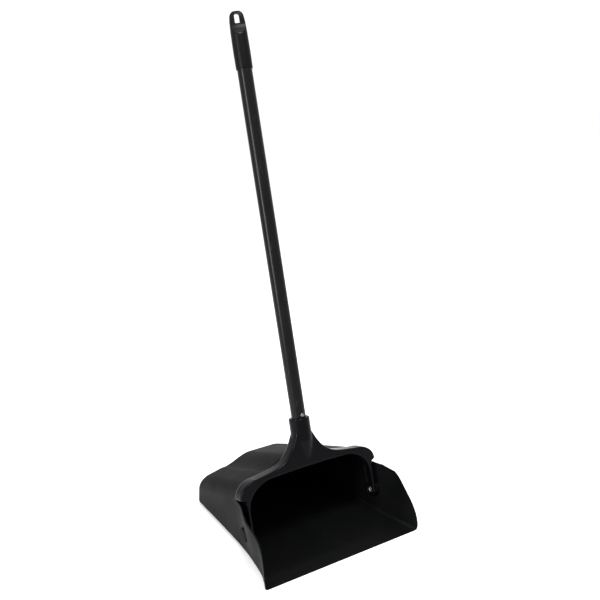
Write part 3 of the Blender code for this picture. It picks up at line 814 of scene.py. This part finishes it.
def dome_rivet(name, node, seat, shank, head, height, sign, along, material):
    """A domed blind rivet set square to the tube, on its front (sign -1) or its back (sign 1)."""
    rim = 0.28
    profile = [(0, sign * RIVET_DEPTH), (shank, sign * RIVET_DEPTH), (shank, sign * seat),
               (head, sign * seat), (head, sign * (seat + height * rim))]
    for i in range(1, 9):
        turn = math.radians(90) * i / 8
        rise = height * (rim + (1 - rim) * math.sin(turn))
        profile.append((head * math.cos(turn), sign * (seat + rise)))
    rivet = turned(name, profile, "Y", TO_HANDLE @ Matrix.Translation((0, 0, along)), material, sides=48)
    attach(rivet, HANDLE)
    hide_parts(node)


def build_grip(material):
    r = GRIP_RADIUS
    edge = 0.0015
    profile = [(0, GRIP_BOTTOM)]
    for i in range(6):
        turn = math.radians(90) * i / 5
        profile.append((r - edge - 0.0003 + edge * math.sin(turn),
                        GRIP_BOTTOM + edge * (1 - math.cos(turn))))
    body = [(r, GRIP_BOTTOM + 0.03), (r - 0.0004, GRIP_TOP - 0.036), (r - 0.0013, GRIP_TOP - 0.018),
            (r - 0.0024, GRIP_TOP - 0.0085), (r - 0.0042, GRIP_TOP - 0.0040),
            (r - 0.0075, GRIP_TOP - 0.0010), (0, GRIP_TOP)]
    last = profile[-1]
    for point in body:
        count = max(1, round((Vector(point) - Vector(last)).length / 0.0035))
        profile += [tuple(Vector(last).lerp(Vector(point), k / count)) for k in range(1, count + 1)]
        last = point
    grip = turned("hand_grip", profile, "Z", Matrix(), material, sides=96)
    steps = []
    loop_half, flat_start, flat_end = 0.0052, GRIP_TOP - 0.050, GRIP_TOP - 0.0225
    for label, sign in (("front", -1), ("back", 1)):
        bm = bmesh.new()
        outline = [(sign * loop_half, GRIP_TOP + 0.01)]
        for i in range(19):
            t = i / 18
            outline.append((sign * mix(loop_half, r + 0.002, smoothstep(t)), mix(flat_end, flat_start, t)))
        outline.append((sign * (r + 0.002), GRIP_TOP + 0.01))
        loft(bm, [[(s, y, z) for y, z in outline] for s in (-0.03, 0.03)])
        steps.append(("DIFFERENCE", make_object(f"{label}_flat", bm)))
    hole_half, hole_low = 0.0044, GRIP_TOP - 0.0215
    arch_centre = GRIP_TOP - 0.0035 - hole_half
    low_corner = 0.0012
    outline = []
    for i in range(5):
        turn = math.radians(180 + 90 * i / 4)
        outline.append((-hole_half + low_corner + low_corner * math.cos(turn),
                        hole_low + low_corner + low_corner * math.sin(turn)))
    for i in range(5):
        turn = math.radians(270 + 90 * i / 4)
        outline.append((hole_half - low_corner + low_corner * math.cos(turn),
                        hole_low + low_corner + low_corner * math.sin(turn)))
    for i in range(21):
        turn = math.pi * i / 20
        outline.append((hole_half * math.cos(turn), arch_centre + hole_half * math.sin(turn)))
    bm = bmesh.new()
    loft(bm, [[(x, s, z) for x, z in outline] for s in (-0.03, 0.03)])
    steps.append(("DIFFERENCE", make_object("hang_hole", bm)))
    wide, below, end = TUBE_RADIUS + GAP, GRIP_BOTTOM - 0.01, TUBE_TOP + GAP
    bore = turned("grip_bore", [(0, below), (wide, below), (wide, end), (0, end)], "Z", Matrix(),
                  sides=96)
    steps.append(("DIFFERENCE", bore))
    cut_and_join(grip, steps)
    bevel = grip.modifiers.new("edges", "BEVEL")
    bevel.width = 0.0006
    bevel.segments = 2
    bevel.limit_method = "ANGLE"
    bevel.angle_limit = math.radians(48)
    bake_modifiers(grip)
    grip.data.shade_smooth()
    grip.data.set_sharp_from_angle(angle=math.radians(40))
    grip.data.transform(TO_GRIP)
    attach(grip, HANDLE)
    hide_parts("hang_up_grip")


def build_pivots(steel, plastic):
    pivot = Matrix.Translation((0, LIP_Y + PIVOT_DEPTH, PIVOT_Z))
    hole = PIN_RADIUS + GAP
    inner_end = ARM_INNER - 2 * GAP - PIN_WASHER_THICKNESS
    dome_radius, dome_height, rim = 0.0056, 0.0030, 0.0006
    for side, sign in SIDES:
        pin = []
        for i in range(13):
            turn = math.radians(90) * i / 12
            pin.append((dome_radius * math.sin(turn),
                        inner_end - rim - (dome_height - rim) * math.cos(turn)))
        pin += [(dome_radius, inner_end), (PIN_RADIUS, inner_end), (PIN_RADIUS, PIN_END - 0.0008),
                (PIN_RADIUS - 0.0008, PIN_END), (0, PIN_END)]
        item = turned(f"{side}_pin", [(r, sign * d) for r, d in pin], "X", pivot, steel, sides=64)
        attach(item, PAN)
        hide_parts(f"{side}_pivot_pin")
        for label, low, high, radius, material, slot in (
                ("thrust_washer", ARM_OUTER + GAP, BOSS_INNER - GAP, THRUST_WASHER_RADIUS, plastic,
                 "pad_plastic"),
                ("pin_washer", ARM_INNER - GAP - PIN_WASHER_THICKNESS, ARM_INNER - GAP,
                 PIN_WASHER_RADIUS, steel, "steel")):
            ring = rounded([(hole, sign * low), (radius, sign * low), (radius, sign * high),
                            (hole, sign * high)], 0.00025)
            item = turned(f"{side}_{label}_ring", ring, "X", pivot, material, sides=64)
            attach(item, HANDLE)
            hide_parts(f"{side}_{label}")


def build_wheels(plastic, steel, pad):
    w = WHEEL_HALF_WIDTH
    bore = AXLE_RADIUS + GAP
    shoulder = 0.0012
    web = w * 0.35
    rim = WHEEL_RADIUS - 0.0028
    hub = 0.0042
    profile = [(bore, -w), (hub, -w), (hub, -web), (rim, -web), (rim, -w), (WHEEL_RADIUS - shoulder, -w),
               (WHEEL_RADIUS, -w + shoulder), (WHEEL_RADIUS, w - shoulder), (WHEEL_RADIUS - shoulder, w),
               (rim, w), (rim, web), (hub, web), (hub, w), (bore, w)]
    axle_half = w + AXLE_OVERHANG
    for side, sign in SIDES:
        place = Matrix.Translation((sign * WHEEL_X, LIP_Y + WHEEL_DEPTH, WHEEL_RADIUS))
        wheel = turned(f"{side}_roller", rounded(profile, 0.0005), "X", place, plastic, sides=72)
        ribs = []
        for i in range(6):
            turn = place @ Matrix.Rotation(math.radians(60 * i), 4, "X")
            spoke = rounded_box(f"{side}_spoke", (-w * 0.72, hub * 0.8, -0.0007),
                                (w * 0.72, rim + 0.0006, 0.0007), 0.0003, turn, 2)
            ribs.append(("UNION", spoke))
        cut_and_join(wheel, ribs)
        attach(wheel, f"{side}_wheel")
        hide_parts(f"{side}_wheel")
        ends = rounded([(0, -axle_half), (AXLE_RADIUS, -axle_half), (AXLE_RADIUS, axle_half),
                        (0, axle_half)], 0.0005)
        axle = turned(f"{side}_axle_pin", ends, "X", place, steel, sides=48)
        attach(axle, PAN)
        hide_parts(f"{side}_wheel_axle")
        lo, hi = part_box(f"{side}_wear_pad")
        skid = rounded_box(f"{side}_skid", lo, hi, 0.0009)
        skid.data.materials.append(pad)
        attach(skid, PAN)
        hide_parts(f"{side}_wear_pad")


# ---- camera, light and stage ------------------------------------------------------------------------
def add_camera():
    data = bpy.data.cameras.new("camera")
    data.lens = 49.44
    data.clip_end = 50.0
    camera = bpy.data.objects.new("camera", data)
    bpy.context.scene.collection.objects.link(camera)
    camera.location = (-0.741, -0.978 + LIP_Y, 0.839)
    yaw, pitch = math.radians(33.47), math.radians(17.0)
    aim = Vector((math.sin(yaw) * math.cos(pitch), math.cos(yaw) * math.cos(pitch), -math.sin(pitch)))
    camera.rotation_euler = aim.to_track_quat("-Z", "Y").to_euler()
    bpy.context.scene.camera = camera


def add_area(name, place, target, size, power):
    data = bpy.data.lights.new(name, "AREA")
    data.shape = "RECTANGLE"
    data.size, data.size_y = size
    data.energy = power
    light = bpy.data.objects.new(name, data)
    bpy.context.scene.collection.objects.link(light)
    light.location = place
    light.rotation_euler = (Vector(target) - Vector(place)).to_track_quat("-Z", "Y").to_euler()


def add_stage():
    """A wide pale studio floor."""
    bm = bmesh.new()
    sides = 96
    below_feet = -0.0004
    rings = []
    for r in (0.35, 1.2, 4.0, 14.0):
        turns = [2 * math.pi * i / sides for i in range(sides)]
        rings.append([bm.verts.new((r * math.cos(t), r * math.sin(t), below_feet)) for t in turns])
    bm.faces.new(rings[0])
    for row, following in zip(rings, rings[1:]):
        for i in range(sides):
            j = (i + 1) % sides
            bm.faces.new((row[i], row[j], following[j], following[i]))
    nodes = Nodes("studio_paper")
    cloud = nodes.noise(1.3, 3.0, 0.5)
    nodes.link(nodes.mix_colour(cloud, (0.945, 0.945, 0.945), (0.97, 0.97, 0.97)), "Base Color")
    nodes.shader.inputs["Roughness"].default_value = 0.9
    nodes.link(nodes.bump(nodes.noise(700.0, 2.0), 0.00003), "Normal")
    stage = make_object("studio_floor", bm, nodes.material)


def add_light():
    world = bpy.data.worlds.new("studio")
    bpy.context.scene.world = world
    world.use_nodes = True
    world.node_tree.nodes["Background"].inputs["Color"].default_value = (1, 1, 1, 1)
    world.node_tree.nodes["Background"].inputs["Strength"].default_value = 1.06
    bpy.context.scene.view_settings.view_transform = "Standard"
    add_area("key_left", (-1.75, -0.35, 0.95), (0, 0.1, 0.6), (0.16, 1.25), 32)
    add_area("top", (-0.12, -0.40, 2.0), (0, -0.05, 0.1), (0.45, 0.55), 30)
    add_area("back_top", (-0.5, 1.3, 1.9), (0, 0, 0.1), (1.4, 0.6), 6)


def main():
    pan_plastic = moulded_plastic("pan_plastic_look", (0.0011, 0.0014, 0.0012), (0.011, 0.011, 0.011),
                                  0.56, 0.00005, scuff=0.6, dust=0.2, specular=0.05)
    yoke_plastic = moulded_plastic("yoke_plastic_look", (0.0014, 0.0014, 0.0022), (0.010, 0.010, 0.012),
                                   0.23, 0.00003, scuff=0.4)
    grip_plastic = moulded_plastic("grip_plastic_look", (0.0022, 0.0022, 0.0025), (0.016, 0.016, 0.016),
                                   0.34, 0.00005, scuff=0.5)
    wheel_plastic = moulded_plastic("wheel_plastic_look", (0.012, 0.012, 0.012), (0.05, 0.049, 0.047), 0.56,
                                    0.00006, scuff=1.0, dust=0.5)
    pad_plastic = moulded_plastic("pad_plastic_look", (0.010, 0.010, 0.010), (0.05, 0.05, 0.05), 0.50,
                                  0.00005, scuff=1.0, dust=0.3)
    tube_coat = coated_tube("tube_coat_look")
    steel = plated_steel("steel_look", (0.19, 0.187, 0.18), 0.24)
    build_pan(pan_plastic)
    build_yoke(yoke_plastic)
    build_tube(tube_coat)
    build_grip(grip_plastic)
    dome_rivet("stop_rivet", "tube_stop_rivet", TUBE_RADIUS + GAP, STOP_SHANK, STOP_HEAD_RADIUS,
               STOP_HEAD_HEIGHT, -1, STOP_RIVET_HEIGHT, steel)
    dome_rivet("back_rivet", "socket_rivet", SOCKET_RADIUS + GAP, RIVET_SHANK, RIVET_HEAD_RADIUS,
               RIVET_HEAD_HEIGHT, 1, RIVET_HEIGHT, steel)
    build_pivots(steel, pad_plastic)
    build_wheels(wheel_plastic, steel, pad_plastic)
    add_stage()
    add_light()
    add_camera()


main()
